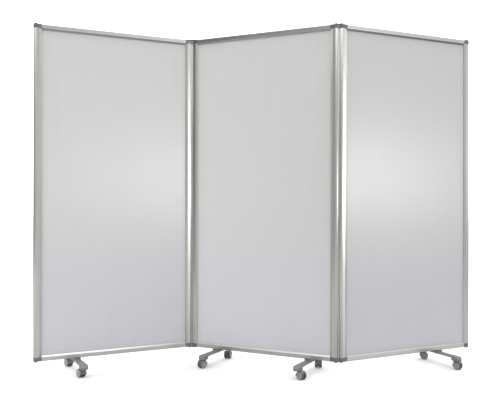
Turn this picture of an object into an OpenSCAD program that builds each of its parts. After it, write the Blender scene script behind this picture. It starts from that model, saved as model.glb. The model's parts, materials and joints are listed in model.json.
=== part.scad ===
// Three-panel folding room divider on twin-wheel castors.
// Origin: on the floor under the middle of the middle panel. +X runs along the screen,
// -Y is the front, +Z is up. The screen stands in a zig-zag.

/* [Panels] */
// Width of one panel over its rounded stiles
panel_w = 859; // [600:1:1100]
// Height of one panel frame
panel_h = 1698; // [900:1:2200]
// Thickness of the frame
frame_t = 26; // [24:1:30]
// Gap between the floor and the bottom rail
ground_gap = 75; // [75:1:110]
// Angle between each panel and the line of the screen
fold = 27; // [5:1:40]

/* [Frame sections] */
// Width of a stile, flat face and rounded edge together
stile_w = 40; // [38:1:48]
// Height of a rail
rail_h = 28; // [27:1:34]
// Width of a stile's sloping lip, which holds the sheet
stile_lip = 12; // [10:0.5:12]
// Width of a rail's lip
rail_lip = 8; // [6:0.5:9]
// Thickness of the lips at their thin end, beside the sheet
lip_t = 16; // [16:1:20]
// Depth of the channel that the sheet stands in
slot_d = 14; // [12:1:15]

/* [Sheet] */
// Thickness of the twin-wall sheet
sheet_t = 10; // [8:1:10]
// Number of flutes across one sheet
flutes = 75; // [40:1:90]
// Thickness of the sheet's outer skins
skin_t = 0.8; // [0.6:0.1:1.2]

/* [Hinges] */
// Distance between the two hinge pins of a joint
pin_gap = 27; // [27:0.5:34]
// Diameter of a hinge pin
pin_d = 8; // [6:0.5:9]
// Diameter of the round head of a pin, and of the boss on a free corner
head_d = 16; // [14:0.5:18]
// Thickness of a hinge link
link_t = 3; // [2:0.5:4]

/* [Feet] */
// Distance between the two castor stems of a foot
foot_span = 268; // [240:1:320]
// Width of a foot arm
arm_w = 38; // [36:1:40]
// Thickness of a foot arm between its two ends
arm_t = 8; // [6:1:10]
// Height of the block between the foot arm and the rail
block_h = 8; // [6:0.5:9]
// Foot's distance from a free edge, as a share of the panel's width
outer_foot = 0.254; // [0.24:0.001:0.26]
// Foot's distance from a hinged edge on the middle panel, as a share of its width
inner_foot = 0.185; // [0.18:0.001:0.19]

/* [Castors] */
// Diameter of a castor wheel
wheel_d = 40; // [38:1:40]
// Width of one wheel
wheel_w = 14; // [12:0.5:15]
// Distance from the swivel axis to the wheels' axle
trail = 17; // [16:0.5:18]

/* [Hidden] */
$fn = 64;
run_fit = 0.05;
side_gap = 0.5;
edge_r = frame_t / 2;
wall = 1.5;
sheet_play = 0.2;
slot_t = sheet_t + 2 * sheet_play;

// stile section, measured from its rounded edge
lip_x = stile_w - stile_lip;
slot_x = stile_w - slot_d;
pocket_x0 = edge_r + wall;
pocket_x1 = slot_x - 2;
pocket_t = frame_t - 2 * wall;

// rail section, measured from its outer face
lip_z = rail_h - rail_lip;
rail_r = 3;
slot_z = rail_h - slot_d;
pocket_z0 = wall;
pocket_z1 = slot_z - 2;

// corner connector
conn_h = lip_z;
tongue_len = 40;
tongue_play = 0.2;
boss_h = side_gap + link_t + 1.5;
pin_depth = 16;

// sheet
sheet_x = slot_x + 1;
sheet_z = slot_z + 1;
sheet_w = panel_w - 2 * sheet_x;
sheet_h = panel_h - 2 * sheet_z;
flute_pitch = (sheet_w - 1) / flutes;
rib_t = 0.6;

// hinge link
link_w = head_d;
head_h = 1.5;

// foot
arm_top = ground_gap - block_h;
arm_end = foot_span / 2 + 38;
nose_z = 45;
nose_len = 44;
nose_r = 18;
end_r = 14;
inner_r = 6;
pad_x = 38;
pad_y = 34;
pad_r = 3;
bolt_d = 6;
bolt_gap = 20;
bolt_head_d = 11;
bolt_head_h = 4;
bolt_reach = 12;

// castor
axle_z = wheel_d / 2;
axle_d = 5;
wheel_gap = 5;
axle_len = 30;
tread_r = 5;
web_t = 9;
hood_in = wheel_d / 2 + 1;
hood_out = hood_in + 2;
hood_w = 2 * (wheel_gap + wheel_w);
hood_from = 35;
hood_to = 195;
stem_d = 6;
stem_z0 = 25;
stem_z1 = 60;
collar_d = 13;
fork_top = axle_z + hood_out;
fork_boss_d = 14;
fork_boss_h = 6;

// hinge pin centres and panel centres, seen from above
half_pins = panel_w / 2 - edge_r;
hinge_x = half_pins * cos(fold);
hinge_y = half_pins * sin(fold);
outer_x = hinge_x + pin_gap + half_pins * cos(fold);
outer_y = hinge_y - half_pins * sin(fold);

// name, centre x, centre y and turn of each panel
PANELS = [
  ["left", -outer_x, outer_y, fold],
  ["middle", 0, 0, -fold],
  ["right", outer_x, -outer_y, fold]
];

// name, panel number and place along the panel of each foot
FEET = [
  ["left", 0, -panel_w / 2 + outer_foot * panel_w],
  ["middle_left", 1, -panel_w / 2 + inner_foot * panel_w],
  ["middle_right", 1, panel_w / 2 - inner_foot * panel_w],
  ["right", 2, panel_w / 2 - outer_foot * panel_w]
];

// name, foot number, side (-1 is the front) and heading of the wheels from the stem
CASTORS = [
  ["left_front", 0, -1, 135],
  ["left_rear", 0, 1, 135],
  ["middle_left_front", 1, -1, -135],
  ["middle_left_rear", 1, 1, -105],
  ["middle_right_front", 2, -1, -45],
  ["middle_right_rear", 2, 1, 90],
  ["right_front", 3, -1, -45],
  ["right_rear", 3, 1, 0]
];

STILES = [
  ["left_outer_stile", 0, 0],
  ["left_hinge_stile", 0, 1],
  ["middle_left_stile", 1, 0],
  ["middle_right_stile", 1, 1],
  ["right_hinge_stile", 2, 0],
  ["right_outer_stile", 2, 1]
];

aluminium = [0.76, 0.77, 0.78];
grey_plastic = [0.44, 0.44, 0.42];
steel = [0.62, 0.63, 0.64];
sheet_white = [0.86, 0.86, 0.88];

// a bar of the given section, standing on z = 0
module bar(len) {
  linear_extrude(height = len) children();
}

// moves from the panel's own frame, centred on its middle, to the screen's
module on_panel(p) {
  translate([PANELS[p][1], PANELS[p][2], 0]) rotate([0, 0, PANELS[p][3]]) children();
}

// moves to the middle of a foot
module on_foot(f) {
  on_panel(FEET[f][1]) translate([FEET[f][2], 0, 0]) children();
}

// runs its children at the left edge (0) or mirrored at the right edge (1)
module at_edge(side) {
  mirror([side, 0, 0]) translate([-panel_w / 2, 0, 0]) children();
}

// a lip that slopes from the frame's faces at x = 0 to its thin end, with 1 mm of overlap
module lip_section(width) {
  polygon([
    [-1, -frame_t / 2], [0, -frame_t / 2], [width, -lip_t / 2],
    [width, lip_t / 2], [0, frame_t / 2], [-1, frame_t / 2]
  ]);
}

module stile_section() {
  difference() {
    union() {
      translate([edge_r, 0]) circle(r = edge_r);
      translate([edge_r, -edge_r]) square([lip_x - edge_r, frame_t]);
      translate([lip_x, 0]) lip_section(stile_lip);
    }
    // round chamber along the edge
    intersection() {
      translate([edge_r, 0]) circle(r = edge_r - wall);
      translate([0, -edge_r]) square([edge_r - wall / 2, frame_t]);
    }
    // pocket for the connector's tongue
    translate([pocket_x0, -pocket_t / 2]) square([pocket_x1 - pocket_x0, pocket_t]);
    // channel for the sheet
    translate([slot_x, -slot_t / 2]) square([slot_d + 1, slot_t]);
  }
}

module rail_section() {
  difference() {
    union() {
      translate([-frame_t / 2, rail_r]) square([frame_t, lip_z - rail_r]);
      translate([rail_r - frame_t / 2, 0]) square([frame_t - 2 * rail_r, rail_r + 1]);
      for (s = [-1, 1]) translate([s * (frame_t / 2 - rail_r), rail_r]) circle(r = rail_r);
      translate([0, lip_z]) rotate(90) lip_section(rail_lip);
    }
    translate([-pocket_t / 2, pocket_z0]) square([pocket_t, pocket_z1 - pocket_z0]);
    translate([-slot_t / 2, slot_z]) square([slot_t, slot_d + 1]);
  }
}

module stile(i) {
  color(aluminium) on_panel(STILES[i][1]) at_edge(STILES[i][2])
    translate([0, 0, ground_gap + conn_h]) bar(panel_h - 2 * conn_h) stile_section();
}

// a rail with its outer face on z = 0 and its lip upwards
module rail_bar() {
  translate([stile_w - panel_w / 2, 0, 0]) rotate([90, 0, 90])
    bar(panel_w - 2 * stile_w) rail_section();
}

module top_rail(p) {
  color(aluminium) on_panel(p) translate([0, 0, ground_gap + panel_h])
    mirror([0, 0, 1]) rail_bar();
}

module bottom_rail(p) {
  color(aluminium) difference() {
    on_panel(p) translate([0, 0, ground_gap]) rail_bar();
    for (f = [0:len(FEET) - 1]) if (FEET[f][1] == p) on_foot(f) foot_bolt_holes();
  }
}

module sheet_section() {
  difference() {
    translate([-sheet_w / 2, -sheet_t / 2]) square([sheet_w, sheet_t]);
    for (i = [0:flutes - 1])
      translate([-sheet_w / 2 + 0.5 + i * flute_pitch + rib_t / 2, -sheet_t / 2 + skin_t])
        square([flute_pitch - rib_t, sheet_t - 2 * skin_t]);
  }
}

module sheet(p) {
  color(sheet_white) on_panel(p) translate([0, 0, ground_gap + sheet_z])
    bar(sheet_h) sheet_section();
}

// one corner connector at the bottom left corner; a hinged one has a bore for the pin,
// a free one has a moulded boss of the same look
module connector(hinged) {
  difference() {
    union() {
      bar(conn_h) {
        translate([edge_r, 0]) circle(r = edge_r);
        translate([edge_r, -edge_r]) square([stile_w - edge_r, frame_t]);
      }
      // tongue into the stile
      translate([pocket_x0 + tongue_play, -pocket_t / 2 + tongue_play, conn_h - 1])
        cube([pocket_x1 - pocket_x0 - 2 * tongue_play, pocket_t - 2 * tongue_play,
          tongue_len + 1]);
      // tongue into the rail
      translate([stile_w - 1, -pocket_t / 2 + tongue_play, pocket_z0 + tongue_play])
        cube([tongue_len + 1, pocket_t - 2 * tongue_play,
          pocket_z1 - pocket_z0 - 2 * tongue_play]);
      if (!hinged) translate([edge_r, 0, -boss_h]) cylinder(d = head_d, h = boss_h + 1);
    }
    // corner of the sheet
    translate([slot_x, -slot_t / 2, slot_z]) cube([stile_w, slot_t, rail_h]);
    if (hinged) translate([edge_r, 0, -1])
      cylinder(d = pin_d + 2 * run_fit, h = pin_depth + 2);
  }
}

module corner_connectors(p) {
  color(grey_plastic) on_panel(p) for (side = [0, 1]) {
    hinged = !((p == 0 && side == 0) || (p == 2 && side == 1));
    at_edge(side) {
      translate([0, 0, ground_gap]) connector(hinged);
      translate([0, 0, ground_gap + panel_h]) mirror([0, 0, 1]) connector(hinged);
    }
  }
}

// moves to a joint, between its two pins; side is -1 for the left joint, 1 for the right
module on_joint(side) {
  translate([side * (hinge_x + pin_gap / 2), -side * hinge_y, 0]) children();
}

// runs its children below the frame, and mirrored above it
module top_and_bottom() {
  translate([0, 0, ground_gap]) children();
  translate([0, 0, ground_gap + panel_h]) mirror([0, 0, 1]) children();
}

module hinge_links(side) {
  color(grey_plastic) on_joint(side) top_and_bottom()
    translate([0, 0, -side_gap - link_t]) difference() {
      bar(link_t) {
        for (x = [-1, 1]) translate([x * pin_gap / 2, 0]) circle(d = link_w);
        square([pin_gap, link_w * 0.6], center = true);
      }
      for (x = [-1, 1]) translate([x * pin_gap / 2, 0, -1])
        cylinder(d = pin_d, h = link_t + 2);
    }
}

module hinge_pins(side) {
  color(grey_plastic) on_joint(side) top_and_bottom()
    for (x = [-1, 1]) translate([x * pin_gap / 2, 0, -side_gap - link_t]) {
      cylinder(d = pin_d, h = side_gap + link_t + pin_depth);
      translate([0, 0, -head_h]) cylinder(d1 = head_d - 2, d2 = head_d, h = head_h);
    }
}

module foot_bolt_holes() {
  for (x = [-1, 1]) translate([x * bolt_gap / 2, 0, arm_top - arm_t - 1])
    cylinder(d = bolt_d + 2 * run_fit, h = arm_t + block_h + bolt_reach);
}

// side outline of one end of a foot arm, with the middle of the arm at x = 0
module nose_outline() {
  intersection() {
    union() {
      translate([arm_end - nose_len, nose_z])
        square([nose_len - nose_r, arm_top - nose_z]);
      translate([arm_end - nose_r, arm_top - nose_r]) circle(r = nose_r);
    }
    translate([0, nose_z]) square([arm_end, arm_top - nose_z]);
  }
  // fillet under the arm
  difference() {
    translate([arm_end - nose_len - inner_r, arm_top - arm_t - inner_r])
      square([inner_r + 1, inner_r + 1]);
    translate([arm_end - nose_len - inner_r, arm_top - arm_t - inner_r])
      circle(r = inner_r);
  }
}

// outline of a foot arm from above, with rounded ends
module arm_plan() {
  square([arm_w, 2 * (arm_end - end_r)], center = true);
  square([arm_w - 2 * end_r, 2 * arm_end], center = true);
  for (x = [-1, 1], y = [-1, 1])
    translate([x * (arm_w / 2 - end_r), y * (arm_end - end_r)]) circle(r = end_r);
}

module foot_arm(f) {
  color(aluminium) on_foot(f) difference() {
    intersection() {
      rotate([90, 0, 90]) translate([0, 0, -arm_w / 2]) bar(arm_w) {
        translate([-arm_end + nose_len - 1, arm_top - arm_t])
          square([2 * (arm_end - nose_len + 1), arm_t]);
        for (s = [0, 1]) mirror([s, 0]) nose_outline();
      }
      bar(ground_gap) arm_plan();
    }
    foot_bolt_holes();
    for (s = [-1, 1]) translate([0, s * foot_span / 2, nose_z - 1])
      cylinder(d = stem_d, h = stem_z1 - nose_z + 1);
  }
}

module foot_block(f) {
  color(aluminium) on_foot(f) difference() {
    translate([0, 0, arm_top]) bar(block_h)
      for (x = [-1, 1], y = [-1, 1]) {
        translate([x * (pad_x / 2 - pad_r), y * (pad_y / 2 - pad_r)]) circle(r = pad_r);
        square([pad_x, pad_y - 2 * pad_r], center = true);
        square([pad_x - 2 * pad_r, pad_y], center = true);
      }
    foot_bolt_holes();
  }
}

module foot_bolts(p) {
  color(steel) for (f = [0:len(FEET) - 1]) if (FEET[f][1] == p) on_foot(f)
    for (x = [-1, 1]) translate([x * bolt_gap / 2, 0, arm_top - arm_t]) {
      cylinder(d = bolt_d, h = arm_t + block_h + bolt_reach - 3);
      translate([0, 0, -bolt_head_h]) cylinder(d = bolt_head_d, h = bolt_head_h, $fn = 6);
    }
}

module castor_stems(p) {
  color(steel) for (f = [0:len(FEET) - 1]) if (FEET[f][1] == p) on_foot(f)
    for (s = [-1, 1]) translate([0, s * foot_span / 2, 0]) {
      translate([0, 0, stem_z0]) cylinder(d = stem_d, h = stem_z1 - stem_z0);
      translate([0, 0, fork_top + 0.4])
        cylinder(d = collar_d, h = nose_z - fork_top - 0.4);
    }
}

// moves to a castor's swivel axis, with +X towards its wheels
module on_castor(c) {
  foot = FEET[CASTORS[c][1]];
  panel = PANELS[foot[1]];
  side = CASTORS[c][2] * foot_span / 2;
  translate([
    panel[1] + foot[2] * cos(panel[3]) - side * sin(panel[3]),
    panel[2] + foot[2] * sin(panel[3]) + side * cos(panel[3]),
    0
  ]) rotate([0, 0, CASTORS[c][3]]) children();
}

// side outline of the web between a castor's wheels
module web_outline() {
  translate([trail, axle_z]) circle(r = wheel_d / 2 - 4);
  polygon([
    [-fork_boss_d / 2, fork_top], [-fork_boss_d / 2, stem_z0 - 4],
    [trail - 12, axle_z - 10], [trail, axle_z], [trail, fork_top]
  ]);
}

// side outline of the hood over the wheels
module hood_outline() {
  translate([trail, axle_z]) difference() {
    intersection() {
      circle(r = hood_out);
      polygon(concat([[0, 0]],
        [for (a = [hood_from:20:hood_to]) 2 * hood_out * [cos(a), sin(a)]]));
    }
    circle(r = hood_in);
  }
}

module castor_fork(c) {
  color(grey_plastic) on_castor(c) difference() {
    union() {
      rotate([90, 0, 0]) translate([0, 0, -web_t / 2]) bar(web_t) web_outline();
      rotate([90, 0, 0]) translate([0, 0, -hood_w / 2]) bar(hood_w) hood_outline();
      translate([0, 0, fork_top - fork_boss_h]) cylinder(d = fork_boss_d, h = fork_boss_h);
    }
    translate([0, 0, stem_z0 - 1])
      cylinder(d = stem_d + 2 * run_fit, h = fork_top - stem_z0 + 2);
    translate([trail, web_t, axle_z]) rotate([90, 0, 0])
      cylinder(d = axle_d, h = 2 * web_t);
  }
}

module castor_axle(c) {
  color(steel) on_castor(c) translate([trail, axle_len / 2, axle_z]) rotate([90, 0, 0])
    cylinder(d = axle_d, h = axle_len);
}

// half section of one wheel, from the castor's middle outwards
module wheel_section() {
  difference() {
    union() {
      translate([0, wheel_gap]) square([wheel_d / 2 - tread_r, wheel_w]);
      translate([0, wheel_gap + tread_r]) square([wheel_d / 2, wheel_w - 2 * tread_r]);
      for (y = [wheel_gap + tread_r, wheel_gap + wheel_w - tread_r])
        translate([wheel_d / 2 - tread_r, y]) circle(r = tread_r);
    }
    // dished outer face
    translate([axle_d + 1, wheel_gap + wheel_w - 1.5]) square([wheel_d / 2 - 10, 2]);
    translate([-1, wheel_gap - 1]) square([axle_d / 2 + run_fit + 1, axle_len / 2 - wheel_gap + 1.5]);
  }
}

module castor_wheels(c) {
  color(grey_plastic) on_castor(c) translate([trail, 0, axle_z])
    for (s = [-90, 90]) rotate([s, 0, 0]) rotate_extrude() wheel_section();
}

for (i = [0:len(STILES) - 1])
  stile(i);
for (p = [0:2]) {
  top_rail(p);
  bottom_rail(p);
  sheet(p);
  corner_connectors(p);
  foot_bolts(p);
  castor_stems(p);
}
hinge_links(-1);  // left_hinge_links
hinge_pins(-1);  // left_hinge_pins
hinge_links(1);  // right_hinge_links
hinge_pins(1);  // right_hinge_pins
for (f = [0:len(FEET) - 1]) {
  foot_arm(f);
  foot_block(f);
}
for (c = [0:len(CASTORS) - 1]) {
  castor_fork(c);
  castor_axle(c);
  castor_wheels(c);
}
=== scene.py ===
"""Looks of the folding room divider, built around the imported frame."""

import json
import math

import bpy
from mathutils import Matrix, Vector


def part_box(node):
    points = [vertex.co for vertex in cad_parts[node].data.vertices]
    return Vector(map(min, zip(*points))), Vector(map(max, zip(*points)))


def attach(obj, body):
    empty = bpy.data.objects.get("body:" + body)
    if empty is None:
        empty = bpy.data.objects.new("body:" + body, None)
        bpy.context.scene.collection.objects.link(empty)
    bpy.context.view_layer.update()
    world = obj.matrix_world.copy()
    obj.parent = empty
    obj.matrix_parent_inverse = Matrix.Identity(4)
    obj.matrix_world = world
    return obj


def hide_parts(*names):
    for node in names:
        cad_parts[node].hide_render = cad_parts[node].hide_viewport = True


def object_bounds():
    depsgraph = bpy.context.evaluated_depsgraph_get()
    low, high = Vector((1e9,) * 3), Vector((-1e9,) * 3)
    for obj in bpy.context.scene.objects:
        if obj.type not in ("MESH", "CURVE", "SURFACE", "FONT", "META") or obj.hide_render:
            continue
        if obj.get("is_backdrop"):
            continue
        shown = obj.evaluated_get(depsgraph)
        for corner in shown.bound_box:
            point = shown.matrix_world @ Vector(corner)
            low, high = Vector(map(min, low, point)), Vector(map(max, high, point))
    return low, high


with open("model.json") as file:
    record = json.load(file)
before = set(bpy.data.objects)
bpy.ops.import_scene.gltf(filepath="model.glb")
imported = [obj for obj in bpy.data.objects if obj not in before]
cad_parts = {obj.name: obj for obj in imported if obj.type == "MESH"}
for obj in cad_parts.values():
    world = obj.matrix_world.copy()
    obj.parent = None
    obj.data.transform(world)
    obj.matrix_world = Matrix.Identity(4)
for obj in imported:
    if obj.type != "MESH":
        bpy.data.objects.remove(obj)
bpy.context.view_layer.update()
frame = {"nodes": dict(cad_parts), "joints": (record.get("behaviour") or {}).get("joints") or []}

MM = 0.001
PANELS = ("left", "middle", "right")
FEET = {"left": "left", "middle_left": "middle", "middle_right": "middle", "right": "right"}
CASTORS = [foot + side for foot in FEET for side in ("_front", "_rear")]
joints = {joint["name"]: joint for joint in frame["joints"]}


# ---------------------------------------------------------------- places from the frame

def joint_at(name):
    return Vector(joints[name]["pos_m"])


def local_box(node, place):
    """Lowest and highest corner of a CAD node, along the axes of a place."""
    inverse = place.inverted()
    points = [inverse @ v.co for v in frame["nodes"][node].data.vertices]
    return tuple(Vector([end(p[i] for p in points) for i in range(3)]) for end in (min, max))


def placed(centre, direction):
    """A place on the floor under centre, with +X along direction."""
    turn = math.atan2(direction.y, direction.x)
    return Matrix.Translation((centre.x, centre.y, 0)) @ Matrix.Rotation(turn, 4, "Z")


def panel_place(panel):
    lo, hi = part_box(panel + "_top_rail")
    centre = (lo + hi) / 2
    if panel == "middle":
        along = joint_at("right_link_turn") - joint_at("left_link_turn")
    elif panel == "left":
        along = joint_at("left_panel_fold") - centre
    else:
        along = centre - joint_at("right_panel_fold")
    return placed(centre, along)


PLACE = {panel: panel_place(panel) for panel in PANELS}


def foot_place(foot):
    lo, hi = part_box(foot + "_foot_block")
    turn = PLACE[FEET[foot]].to_3x3()
    return placed((lo + hi) / 2, turn @ Vector((1, 0, 0)))


def castor_place(castor):
    stem = joint_at(castor + "_swivel")
    return placed(stem, joint_at(castor + "_roll") - stem)


# ---------------------------------------------------------------- node materials

PAINTED_SHADE_KEEPS = 0.3  # how much of its colour the frame's metal keeps where it looks down: painted shade under its edges


class Nodes:
    """Short ways to add and join the nodes of one tree."""

    def __init__(self, tree):
        self.tree = tree

    def node(self, kind, **settings):
        made = self.tree.nodes.new(kind)
        for key, value in settings.items():
            setattr(made, key, value)
        return made

    def link(self, source, target):
        self.tree.links.new(source, target)

    def math(self, operation, first, second=None):
        made = self.node("ShaderNodeMath", operation=operation)
        for socket, value in zip(made.inputs, (first, second)):
            if value is None:
                continue
            if isinstance(value, (int, float)):
                socket.default_value = value
            else:
                self.link(value, socket)
        return made.outputs["Value"]

    def parts(self, vector):
        """The X, Y and Z of a vector."""
        made = self.node("ShaderNodeSeparateXYZ")
        self.link(vector, made.inputs["Vector"])
        return [made.outputs[axis] for axis in "XYZ"]

    def remap(self, source, low, high, start, end, kind="LINEAR"):
        """source turned from start..end into low..high."""
        made = self.node("ShaderNodeMapRange", interpolation_type=kind)
        settings = {"From Min": start, "From Max": end, "To Min": low, "To Max": high}
        for key, value in settings.items():
            made.inputs[key].default_value = value
        self.link(source, made.inputs["Value"])
        return made.outputs["Result"]

    def mix_shaders(self, share, first, second, surface):
        """Two shaders mixed into surface; share, a number or a socket, is the second one's."""
        made = self.node("ShaderNodeMixShader")
        if isinstance(share, (int, float)):
            made.inputs["Fac"].default_value = share
        else:
            self.link(share, made.inputs["Fac"])
        self.link(first, made.inputs[1])
        self.link(second, made.inputs[2])
        self.link(made.outputs["Shader"], surface)


class Surface(Nodes):
    """A node material with one Principled shader."""

    def __init__(self, name):
        self.material = bpy.data.materials.new(name)
        self.material.use_nodes = True
        super().__init__(self.material.node_tree)
        self.shader = self.tree.nodes["Principled BSDF"]
        self.output = self.tree.nodes["Material Output"].inputs["Surface"]

    def set(self, **values):
        for key, value in values.items():
            self.shader.inputs[key.replace("_", " ")].default_value = value

    def coordinates(self, scale=(1, 1, 1), turn=0.0):
        """Places in the row frame, turned about Z and then scaled."""
        place = self.node("ShaderNodeTexCoord")
        turned = self.node("ShaderNodeVectorRotate", rotation_type="Z_AXIS")
        turned.inputs["Angle"].default_value = turn
        self.link(place.outputs["Object"], turned.inputs["Vector"])
        stretched = self.node("ShaderNodeVectorMath", operation="MULTIPLY")
        stretched.inputs[1].default_value = scale
        self.link(turned.outputs["Vector"], stretched.inputs[0])
        return stretched.outputs["Vector"]

    def noise(self, where, scale, detail=3.0):
        made = self.node("ShaderNodeTexNoise")
        made.inputs["Scale"].default_value = scale
        made.inputs["Detail"].default_value = detail
        self.link(where, made.inputs["Vector"])
        return made.outputs["Fac"]

    def ramp(self, source, low, high, start=0.3, end=0.7):
        """source turned from start..end into low..high, numbers or colours."""
        if isinstance(low, (int, float)):
            return self.remap(source, low, high, start, end)
        made = self.node("ShaderNodeValToRGB")
        made.color_ramp.elements[0].position = start
        made.color_ramp.elements[1].position = end
        made.color_ramp.elements[0].color = (*low, 1)
        made.color_ramp.elements[1].color = (*high, 1)
        self.link(source, made.inputs["Fac"])
        return made.outputs["Color"]

    def painted_shade_below(self, colour):
        """The colour darkened on faces that look down: painted shade under the frame's edges,
        standing in for the shaded floor they mirror.
        """
        upward = self.parts(self.node("ShaderNodeNewGeometry").outputs["Normal"])[2]
        kept = self.remap(upward, PAINTED_SHADE_KEEPS, 1.0, -0.75, -0.15)
        made = self.node("ShaderNodeVectorMath", operation="SCALE")
        self.link(colour, made.inputs["Vector"])
        self.link(kept, made.inputs["Scale"])
        return made.outputs["Vector"]

    def bump(self, height, strength, distance):
        made = self.node("ShaderNodeBump")
        made.inputs["Strength"].default_value = strength
        made.inputs["Distance"].default_value = distance
        self.link(height, made.inputs["Height"])
        self.link(made.outputs["Normal"], self.shader.inputs["Normal"])


def anodised(name, stretch, turn=0.0):
    """Satin anodised extrusion, with fine drawing lines along its length."""
    s = Surface(name)
    s.set(Metallic=1.0)
    lines = s.noise(s.coordinates(stretch, turn), 1.0, 4.0)
    cloud = s.noise(s.coordinates(), 2.2)
    tone = s.ramp(cloud, (0.585, 0.585, 0.56), (0.655, 0.655, 0.63))
    # painted shade: the metal's colour is darkened on faces that look down
    s.link(s.painted_shade_below(tone), s.shader.inputs["Base Color"])
    s.link(s.ramp(lines, 0.24, 0.36), s.shader.inputs["Roughness"])
    s.bump(lines, 0.12, 0.0002)
    return s.material


def moulded(name, dark, light, roughness, grain=700.0, grain_depth=0.12, metallic=0.0):
    """Moulded plastic with a fine spark-eroded grain and slightly uneven tone."""
    s = Surface(name)
    s.set(Metallic=metallic)
    where = s.coordinates()
    s.link(s.ramp(s.noise(where, 35.0), dark, light), s.shader.inputs["Base Color"])
    s.link(s.ramp(s.noise(where, 90.0), roughness - 0.05, roughness + 0.05),
           s.shader.inputs["Roughness"])
    s.bump(s.noise(where, grain, 2.0), grain_depth, 0.0003)
    return s.material


def cast_metal():
    """Cast foot with a satin silver coating."""
    s = Surface("foot_coating")
    s.set(Metallic=0.2)
    where = s.coordinates()
    s.link(s.ramp(s.noise(where, 14.0), (0.185, 0.187, 0.19), (0.225, 0.227, 0.23)),
           s.shader.inputs["Base Color"])
    s.link(s.ramp(s.noise(where, 60.0), 0.36, 0.46), s.shader.inputs["Roughness"])
    s.bump(s.noise(where, 420.0, 3.0), 0.2, 0.0003)
    return s.material


def zinc():
    """Bright zinc plate, slightly uneven."""
    s = Surface("zinc_plate")
    s.set(Metallic=1.0)
    where = s.coordinates()
    s.link(s.ramp(s.noise(where, 60.0), (0.42, 0.42, 0.43), (0.58, 0.58, 0.59)),
           s.shader.inputs["Base Color"])
    s.link(s.ramp(s.noise(where, 240.0), 0.25, 0.42), s.shader.inputs["Roughness"])
    return s.material


FLUTES = 75
RIB_SHARE = 0.2  # part of a flute's pitch over which its rib shows
RIB_TINT = (0.86, 0.86, 0.87, 1)
SHEET_SHADED_FOOT, SHEET_LIT_TOP = (0.735, 0.735, 0.77), (0.75, 0.75, 0.745)  # colours at its foot and its top: painted shade, a touch darker and bluer at the foot
SHEET_IOR = 2.0  # above real plastic, for the strength of its soft reflections
SHEET_ROUGHNESS = 0.235
THROUGH_SHARE = 0.35  # light that passes through the sheet


def fluted(name, start, pitch, place):
    """Translucent twin-wall sheet; its ribs show as upright lines."""
    s = Surface(name)
    s.set(Roughness=SHEET_ROUGHNESS, IOR=SHEET_IOR)
    where = s.node("ShaderNodeTexCoord")
    along = s.node("ShaderNodeVectorRotate", rotation_type="Z_AXIS")
    along.inputs["Center"].default_value = place.translation
    along.inputs["Angle"].default_value = -place.to_euler().z
    s.link(where.outputs["Object"], along.inputs["Vector"])
    x, _, z = s.parts(along.outputs["Vector"])
    from_start = s.math("SUBTRACT", x, place.translation.x + start)
    cell = s.math("FRACT", s.math("DIVIDE", from_start, pitch))
    from_rib = s.math("ABSOLUTE", s.math("SUBTRACT", cell, 0.5))
    rib = s.ramp(from_rib, 0.0, 1.0, 0.5 - RIB_SHARE, 0.5)
    # painted light and shade: the sheet's colour runs a touch darker and bluer towards its foot
    tone = s.ramp(z, SHEET_SHADED_FOOT, SHEET_LIT_TOP, 0.15, 0.9)
    body = s.node("ShaderNodeMix", data_type="RGBA", blend_type="MULTIPLY")
    s.link(rib, body.inputs[0])
    s.link(tone, body.inputs[6])
    body.inputs[7].default_value = RIB_TINT
    s.link(body.outputs[2], s.shader.inputs["Base Color"])
    through = s.node("ShaderNodeBsdfTranslucent")
    s.link(body.outputs[2], through.inputs["Color"])
    s.mix_shaders(THROUGH_SHARE, s.shader.outputs["BSDF"], through.outputs["BSDF"], s.output)
    return s.material


ALONG, ACROSS = 1.5, 900.0  # scale of the drawing lines on an extrusion
STILE_METAL = anodised("anodised_stile", (ACROSS, ACROSS, ALONG))
RAIL_METAL = {
    panel: anodised(panel + "_anodised_rail", (ALONG, ACROSS, ACROSS), -PLACE[panel].to_euler().z)
    for panel in PANELS
}
CORNER_PLASTIC = moulded("corner_plastic", (0.17, 0.17, 0.155), (0.21, 0.21, 0.19), 0.34,
                         metallic=0.6)
HINGE_PLASTIC = moulded("hinge_plastic", (0.035, 0.036, 0.032), (0.06, 0.061, 0.055), 0.4)
HOOD_PLASTIC = moulded("hood_plastic", (0.17, 0.17, 0.158), (0.21, 0.21, 0.195), 0.34)
WHEEL_PLASTIC = moulded("wheel_plastic", (0.27, 0.27, 0.255), (0.33, 0.33, 0.31), 0.3)
TREAD_RUBBER = moulded("tread_rubber", (0.055, 0.055, 0.052), (0.08, 0.08, 0.075), 0.55,
                       grain=300.0, grain_depth=0.3)
FOOT_METAL = cast_metal()
ZINC = zinc()


# ---------------------------------------------------------------- mesh helpers

def mesh_piece(name, points, faces, place, materials, smooth_angle=35.0):
    """An object in the row frame, from points in the place's own axes."""
    mesh = bpy.data.meshes.new(name)
    mesh.from_pydata([tuple(place @ Vector(p)) for p in points], [], faces)
    mesh.validate()
    for material in materials:
        mesh.materials.append(material)
    made = bpy.data.objects.new(name, mesh)
    bpy.context.scene.collection.objects.link(made)
    mesh.shade_smooth()
    mesh.set_sharp_from_angle(angle=math.radians(smooth_angle))
    return made


def loft(rings):
    """Points and faces of a closed body through rings of the same length."""
    count = len(rings[0])
    points = [p for ring in rings for p in ring]
    faces = []
    for r in range(len(rings) - 1):
        for i in range(count):
            j = (i + 1) % count
            faces.append((r * count + i, r * count + j, (r + 1) * count + j, (r + 1) * count + i))
    faces.append(tuple(reversed(range(count))))
    faces.append(tuple(range((len(rings) - 1) * count, len(rings) * count)))
    return points, faces


EDGE_ANGLE = math.radians(35)  # edges sharper than this are rounded


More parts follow.
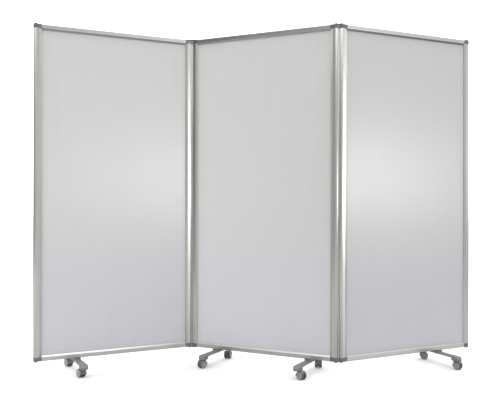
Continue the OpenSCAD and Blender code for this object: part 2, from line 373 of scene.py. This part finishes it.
def softened(node, width, material, segments=2):
    """A CAD node with its edges rounded and its own material."""
    obj = frame["nodes"][node]
    obj.data.materials.clear()
    obj.data.materials.append(material)
    weld = obj.modifiers.new("weld", "WELD")
    weld.merge_threshold = 1e-5
    bevel = obj.modifiers.new("edges", "BEVEL")
    bevel.width = width
    bevel.segments = segments
    bevel.limit_method = "ANGLE"
    bevel.angle_limit = EDGE_ANGLE
    bevel.harden_normals = True
    bevel.use_clamp_overlap = True


# ---------------------------------------------------------------- sheets

SHEET_EDGE = 0.5 * MM  # the sheet's closed margin beside its first and last flute
RIB_SINK = 0.35 * MM  # how deep the skin dips over a rib
WARP = 1.0 * MM
SHEET_ROWS = 28
# places across one flute, as a share of its pitch, and how much of RIB_SINK the skin dips there
CELL_STEPS = ((0.0, 1.0), (0.07, 0.75), (0.18, 0.15), (0.5, 0.0), (0.82, 0.15), (0.93, 0.75))


def sheet_warp(across, up, phase):
    """How far the sheet bows out of its plane, from -1 to 1; nothing at its edges."""
    edge = math.sin(math.pi * across) * math.sin(math.pi * up)
    return edge * math.sin(2.6 * across + 1.7 * math.sin(3.1 * up + phase) + phase)


def fluted_sheet(panel, phase):
    """A thin closed slab with a shallow groove over each rib and a slight bow."""
    node = panel + "_sheet"
    lo, hi = local_box(node, PLACE[panel])
    start = lo.x + SHEET_EDGE
    pitch = (hi.x - SHEET_EDGE - start) / FLUTES
    columns = [(start + (i + share) * pitch, sink * RIB_SINK)
               for i in range(FLUTES) for share, sink in CELL_STEPS]
    columns = [(lo.x, 0.0)] + columns + [(hi.x - SHEET_EDGE, RIB_SINK), (hi.x, 0.0)]
    rings = []
    for row in range(SHEET_ROWS + 1):
        up = row / SHEET_ROWS
        z = lo.z + up * (hi.z - lo.z)
        front, back = [], []
        for x, sink in columns:
            bow = WARP * sheet_warp((x - lo.x) / (hi.x - lo.x), up, phase)
            front.append((x, lo.y + sink + bow, z))
            back.append((x, hi.y - sink + bow, z))
        rings.append(front + back[::-1])
    points, faces = loft(rings)
    sheet = mesh_piece(panel + "_fluted_sheet", points, faces, PLACE[panel],
                       [fluted(panel + "_twin_wall", start, pitch, PLACE[panel])], 60.0)
    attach(sheet, panel)
    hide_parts(node)


# ---------------------------------------------------------------- feet

ARM_T = 8 * MM  # thickness between the noses
NOSE_LEN = 44 * MM
NOSE_R = 18 * MM  # rounding over the top of a nose, seen from the side
END_R = 14 * MM  # rounding of the end, seen from above
INNER_R = 6 * MM  # fillet where a nose turns down
TOE_R = 4 * MM  # rounding under the end of a nose
ARM_EDGE = 2.2 * MM
CORNER_STEPS = 4


def rounded_ring(y, half_width, low, high, radius):
    """A rounded rectangle standing across the arm at y."""
    radius = min(radius, 0.9 * half_width, 0.45 * (high - low))
    ring = []
    for k, (sx, sz) in enumerate(((1, 1), (-1, 1), (-1, -1), (1, -1))):
        for step in range(CORNER_STEPS + 1):
            turn = math.radians(90 * (k + step / CORNER_STEPS))
            x = sx * (half_width - radius) + radius * math.cos(turn)
            z = (high if sz > 0 else low) - sz * radius + radius * math.sin(turn)
            ring.append((x, y, z))
    return ring


def falling(distance, radius):
    """Drop of a quarter circle at this distance past where it starts."""
    past = min(max(distance, 0.0), radius)
    return radius - math.sqrt(radius * radius - past * past)


def foot_arm(foot):
    """A cast arm, lofted through rounded sections from one nose to the other."""
    node = foot + "_foot_arm"
    place = foot_place(foot)
    lo, hi = local_box(node, place)
    reach, half = hi.y, hi.x
    nose_in = reach - NOSE_LEN
    stations = [0.0, 0.35 * nose_in, 0.7 * nose_in]
    stations += [nose_in - INNER_R * (1 - math.sin(math.radians(a))) for a in range(0, 91, 18)]
    stations += [nose_in + 0.4 * MM, nose_in + 8 * MM, reach - NOSE_R]
    stations += [reach - NOSE_R * (1 - math.sin(math.radians(a))) for a in range(15, 91, 5)]
    stations = sorted(set([-s for s in stations] + stations))
    rings = []
    for y in stations:
        far = abs(y)
        high = hi.z - falling(far - (reach - NOSE_R), NOSE_R)
        width = half - falling(far - (reach - END_R), END_R)
        if far <= nose_in + 0.1 * MM:
            low = hi.z - ARM_T - falling(far - (nose_in - INNER_R), INNER_R)
        else:
            low = lo.z + falling(far - (reach - TOE_R), TOE_R)
        rings.append(rounded_ring(y, width, low, high, ARM_EDGE))
    points, faces = loft(rings)
    arm = mesh_piece(foot + "_cast_arm", points, faces, place, [FOOT_METAL])
    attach(arm, FEET[foot])
    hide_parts(node)


# ---------------------------------------------------------------- castor wheels

WHEEL_TURNS = 64
RIM = 2.5 * MM  # rounding of the inner rim
SHOULDER = 6.5 * MM  # rounding of the outer shoulder
DISH = 1.2 * MM  # how deep the outer face is dished
WHEEL_INNER = 5 * MM  # half the gap between the two wheels
TREAD_END = 40  # degrees round the shoulder at which the tread stops


def wheel_profile(radius, inner, outer):
    """Half section of one wheel as (radius, place along the axle, is tread)."""
    edge = [math.radians(a) for a in (0, 30, 60, 90)]
    round_out = [math.radians(a) for a in (0, 15, 30, 45, 60)]
    face = radius - SHOULDER + SHOULDER * math.cos(round_out[-1])
    dome = outer - SHOULDER + SHOULDER * math.sin(round_out[-1])
    profile = [(3.0 * MM, inner + 2.5 * MM, False), (6.5 * MM, inner + 2.5 * MM, False),
               (7.5 * MM, inner + 1.0 * MM, False), (radius - 5.5 * MM, inner + 1.0 * MM, False),
               (radius - 4.5 * MM, inner, False)]
    profile += [(radius - RIM + RIM * math.sin(a), inner + RIM - RIM * math.cos(a), True)
                for a in edge]
    profile += [(radius - SHOULDER + SHOULDER * math.cos(a),
                 outer - SHOULDER + SHOULDER * math.sin(a), math.degrees(a) < TREAD_END)
                for a in round_out]
    profile += [(face - 0.8 * MM, dome, False), (face - 1.6 * MM, dome - DISH, False),
                (8.2 * MM, dome - DISH * 0.7, False), (7.4 * MM, dome - DISH * 0.6, False),
                (6.8 * MM, dome + 0.1 * MM, False), (5.0 * MM, dome + 0.5 * MM, False),
                (2.4 * MM, dome + 0.7 * MM, False)]
    return profile


def castor_wheels(castor):
    """Both wheels of a castor, turned from the wheel's half section."""
    node = castor + "_castor_wheels"
    place = castor_place(castor)
    lo, hi = local_box(node, place)
    axle_x, axle_z = (lo.x + hi.x) / 2, (lo.z + hi.z) / 2
    profile = wheel_profile((hi.z - lo.z) / 2, WHEEL_INNER, hi.y)
    points, faces, tread = [], [], []
    for side in (-1, 1):
        base = len(points)
        for r, y, _ in profile:
            for k in range(WHEEL_TURNS):
                a = 2 * math.pi * k / WHEEL_TURNS
                points.append((axle_x + r * math.cos(a), side * y, axle_z + r * math.sin(a)))
        for p in range(len(profile) - 1):
            for k in range(WHEEL_TURNS):
                n = (k + 1) % WHEEL_TURNS
                quad = [base + p * WHEEL_TURNS + k, base + p * WHEEL_TURNS + n,
                        base + (p + 1) * WHEEL_TURNS + n, base + (p + 1) * WHEEL_TURNS + k]
                faces.append(quad if side > 0 else quad[::-1])
                tread.append(profile[p][2] and profile[p + 1][2])
        for ring, flip in ((0, side > 0), (len(profile) - 1, side < 0)):
            cap = [base + ring * WHEEL_TURNS + k for k in range(WHEEL_TURNS)]
            faces.append(cap if flip else cap[::-1])
            tread.append(False)
    wheels = mesh_piece(castor + "_twin_wheels", points, faces, place,
                        [WHEEL_PLASTIC, TREAD_RUBBER], 30.0)
    for face, is_tread in zip(wheels.data.polygons, tread):
        face.material_index = 1 if is_tread else 0
    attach(wheels, castor + "_castor_wheels")
    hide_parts(node)


# ---------------------------------------------------------------- castor hoods

HOOD_FROM, HOOD_TO, HOOD_STEP = 38, 196, 4  # degrees round the axle
HOOD_GAP = 1.0 * MM
HOOD_T = 2.0 * MM
HOOD_BENDS = 5
WEB_HALF = 4.4 * MM  # half the thickness of the web between the wheels
WEB_R = 15.5 * MM
WEB_FROM, WEB_TO, WEB_STEP = 215, 400, 15  # degrees round the axle, below and in front of it
BOSS_R = 7 * MM
BOSS_H = 6 * MM
BOSS_TURNS = 40


def hood_section(radius, half):
    """Closed section of the hood as (radius, place along the axle), following the wheels."""
    def arc(extra, last):
        bend = [last * k / HOOD_BENDS for k in range(HOOD_BENDS + 1)]
        return [(radius - SHOULDER + (SHOULDER + extra) * math.cos(a),
                 half - SHOULDER + (SHOULDER + extra) * math.sin(a)) for a in bend]

    outer = arc(HOOD_GAP + HOOD_T, math.asin(SHOULDER / (SHOULDER + HOOD_GAP + HOOD_T)))
    inner = arc(HOOD_GAP, math.asin(SHOULDER / (SHOULDER + HOOD_GAP)))
    right = outer + inner[::-1]
    left = [(r, -y) for r, y in right]
    return right + left[::-1]


def castor_fork(castor):
    """A castor's hood over both wheels, the web between them and the boss on top."""
    node = castor + "_castor_fork"
    place = castor_place(castor)
    lo, hi = local_box(node, place)
    wheel_lo, wheel_hi = local_box(castor + "_castor_wheels", place)
    radius = (wheel_hi.z - wheel_lo.z) / 2
    axle_x, axle_z = (wheel_lo.x + wheel_hi.x) / 2, wheel_lo.z + radius
    section = hood_section(radius, wheel_hi.y)
    points, faces = loft([
        [(axle_x + r * math.cos(a), y, axle_z + r * math.sin(a)) for r, y in section]
        for a in (math.radians(d) for d in range(HOOD_FROM, HOOD_TO + 1, HOOD_STEP))])
    top = hi.z - 0.4 * MM
    web = [(-BOSS_R, top), (-BOSS_R, axle_z)]
    web += [(axle_x + WEB_R * math.cos(math.radians(a)), axle_z + WEB_R * math.sin(math.radians(a)))
            for a in range(WEB_FROM, WEB_TO + 1, WEB_STEP)]
    web.append((axle_x + 4 * MM, top - 0.8 * MM))
    boss = [(BOSS_R * math.cos(2 * math.pi * k / BOSS_TURNS),
             BOSS_R * math.sin(2 * math.pi * k / BOSS_TURNS)) for k in range(BOSS_TURNS)]
    for body in (loft([[(x, y, z) for x, z in web] for y in (WEB_HALF, -WEB_HALF)]),
                 loft([[(x, y, z) for x, y in boss] for z in (hi.z - BOSS_H, hi.z)])):
        faces += [tuple(i + len(points) for i in face) for face in body[1]]
        points += body[0]
    hood = mesh_piece(castor + "_hood", points, faces, place, [HOOD_PLASTIC], 40.0)
    bevel = hood.modifiers.new("edges", "BEVEL")
    bevel.width = 0.5 * MM
    bevel.segments = 2
    bevel.limit_method = "ANGLE"
    bevel.angle_limit = math.radians(50)
    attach(hood, castor + "_castor_fork")
    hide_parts(node)


# ---------------------------------------------------------------- dress the frame

def dress():
    """Rounded edges and a material for every CAD node that stays."""
    for name in frame["nodes"]:
        panel = name.split("_")[0]
        if name.endswith("_stile"):
            softened(name, 0.5 * MM, STILE_METAL)
        elif name.endswith("_rail"):
            softened(name, 0.5 * MM, RAIL_METAL[panel])
        elif name.endswith("_corner_connectors"):
            softened(name, 1.0 * MM, CORNER_PLASTIC, 3)
        elif name.endswith(("_hinge_links", "_hinge_pins")):
            softened(name, 0.6 * MM, HINGE_PLASTIC)
        elif name.endswith("_foot_block"):
            softened(name, 0.8 * MM, FOOT_METAL)
        elif name.endswith(("_foot_bolts", "_castor_stems", "_castor_axle")):
            softened(name, 0.4 * MM, ZINC)


dress()
for number, panel in enumerate(PANELS):
    fluted_sheet(panel, 1.9 * number)
for foot in FEET:
    foot_arm(foot)
for castor in CASTORS:
    castor_wheels(castor)
    castor_fork(castor)


# ---------------------------------------------------------------- camera, light and floor

def camera():
    """A little under one metre up, square on to the middle panel."""
    data = bpy.data.cameras.new("camera")
    data.sensor_width = 36.0
    data.lens = 52.25
    made = bpy.data.objects.new("camera", data)
    bpy.context.scene.collection.objects.link(made)
    made.location = (-0.070, -3.844, 0.896)
    made.rotation_euler = [math.radians(a) for a in (89.884, -0.063, -0.118)]
    bpy.context.scene.camera = made


AIM = Vector((0, 0, 0.9))  # what the softboxes face


def area_light(name, azimuth, distance, height, size, radiance, in_reflections=True):
    """A softbox facing the screen. Azimuth 0 is in front, positive towards +X."""
    data = bpy.data.lights.new(name, "AREA")
    data.shape = "RECTANGLE"
    data.size, data.size_y = size
    data.energy = radiance * math.pi * size[0] * size[1]
    made = bpy.data.objects.new(name, data)
    bpy.context.scene.collection.objects.link(made)
    turn = math.radians(azimuth)
    made.location = (distance * math.sin(turn), -distance * math.cos(turn), height)
    made.rotation_euler = (AIM - made.location).to_track_quat("-Z", "Y").to_euler()
    made.visible_camera = False
    made.visible_glossy = in_reflections


def backdrop():
    """A white studio: bright behind and above the screen, dimmer in front of it.

    Far to the left and in front it is dark, which the frame's metal mirrors.
    """
    world = bpy.data.worlds.new("studio")
    bpy.context.scene.world = world
    world.use_nodes = True
    sky = Nodes(world.node_tree)
    x, y, z = sky.parts(sky.node("ShaderNodeTexCoord").outputs["Generated"])
    bright = sky.math("MAXIMUM", sky.remap(y, 0.60, 1.8, -0.25, 0.45, "SMOOTHSTEP"),
                      sky.remap(z, 0.0, 1.4, 0.25, 0.85, "SMOOTHSTEP"))
    lit = sky.math("MAXIMUM", sky.remap(x, 0.0, 1.0, -0.82, -0.72, "SMOOTHSTEP"),
                   sky.remap(y, 0.0, 1.0, -0.40, -0.05, "SMOOTHSTEP"))
    seen = sky.node("ShaderNodeLightPath").outputs["Is Camera Ray"]
    strength = sky.math("MAXIMUM", sky.math("MULTIPLY", bright, lit), seen)
    background = sky.tree.nodes["Background"]
    background.inputs["Color"].default_value = (1, 1, 1, 1)
    sky.link(strength, background.inputs["Strength"])


FLOOR_HALF = 30.0


def floor():
    """A pale floor, which gives back less light than the camera sees, and less to the sides."""
    s = Surface("pale_floor")
    cloud = s.noise(s.coordinates(), 0.6)
    s.link(s.ramp(cloud, (0.90, 0.90, 0.90), (0.93, 0.93, 0.93)), s.shader.inputs["Base Color"])
    s.set(Roughness=0.9)
    aside = s.math("ABSOLUTE", s.parts(s.coordinates())[0])
    bounce = s.node("ShaderNodeBsdfDiffuse")
    s.link(s.remap(aside, 0.47, 0.26, 1.8, 3.4), bounce.inputs["Color"])
    seen = s.node("ShaderNodeLightPath").outputs["Is Camera Ray"]
    s.mix_shaders(seen, bounce.outputs["BSDF"], s.shader.outputs["BSDF"], s.output)
    corners = [(x * FLOOR_HALF, y * FLOOR_HALF, 0) for x, y in ((-1, -1), (1, -1), (1, 1), (-1, 1))]
    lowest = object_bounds()[0].z
    mesh_piece("floor", corners, [(0, 1, 2, 3)],
                        Matrix.Translation((0, 0, lowest)), [s.material])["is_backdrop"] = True


camera()
# The first two make the bright bands in the outer sheets, the third lights the middle one.
area_light("right_strip", 55.0, 12.0, 3.0, (3.8, 6.0), 0.42)
area_light("right_window", 56.0, 11.9, 1.35, (2.7, 1.4), 13.0)
area_light("left_fill", -60, 3.2, 0.85, (1.4, 1.4), 6.0, in_reflections=False)
area_light("overhead", 0, 0.6, 4.5, (5.0, 4.0), 1.2)
backdrop()
floor()
bpy.context.scene.view_settings.view_transform = "Standard"
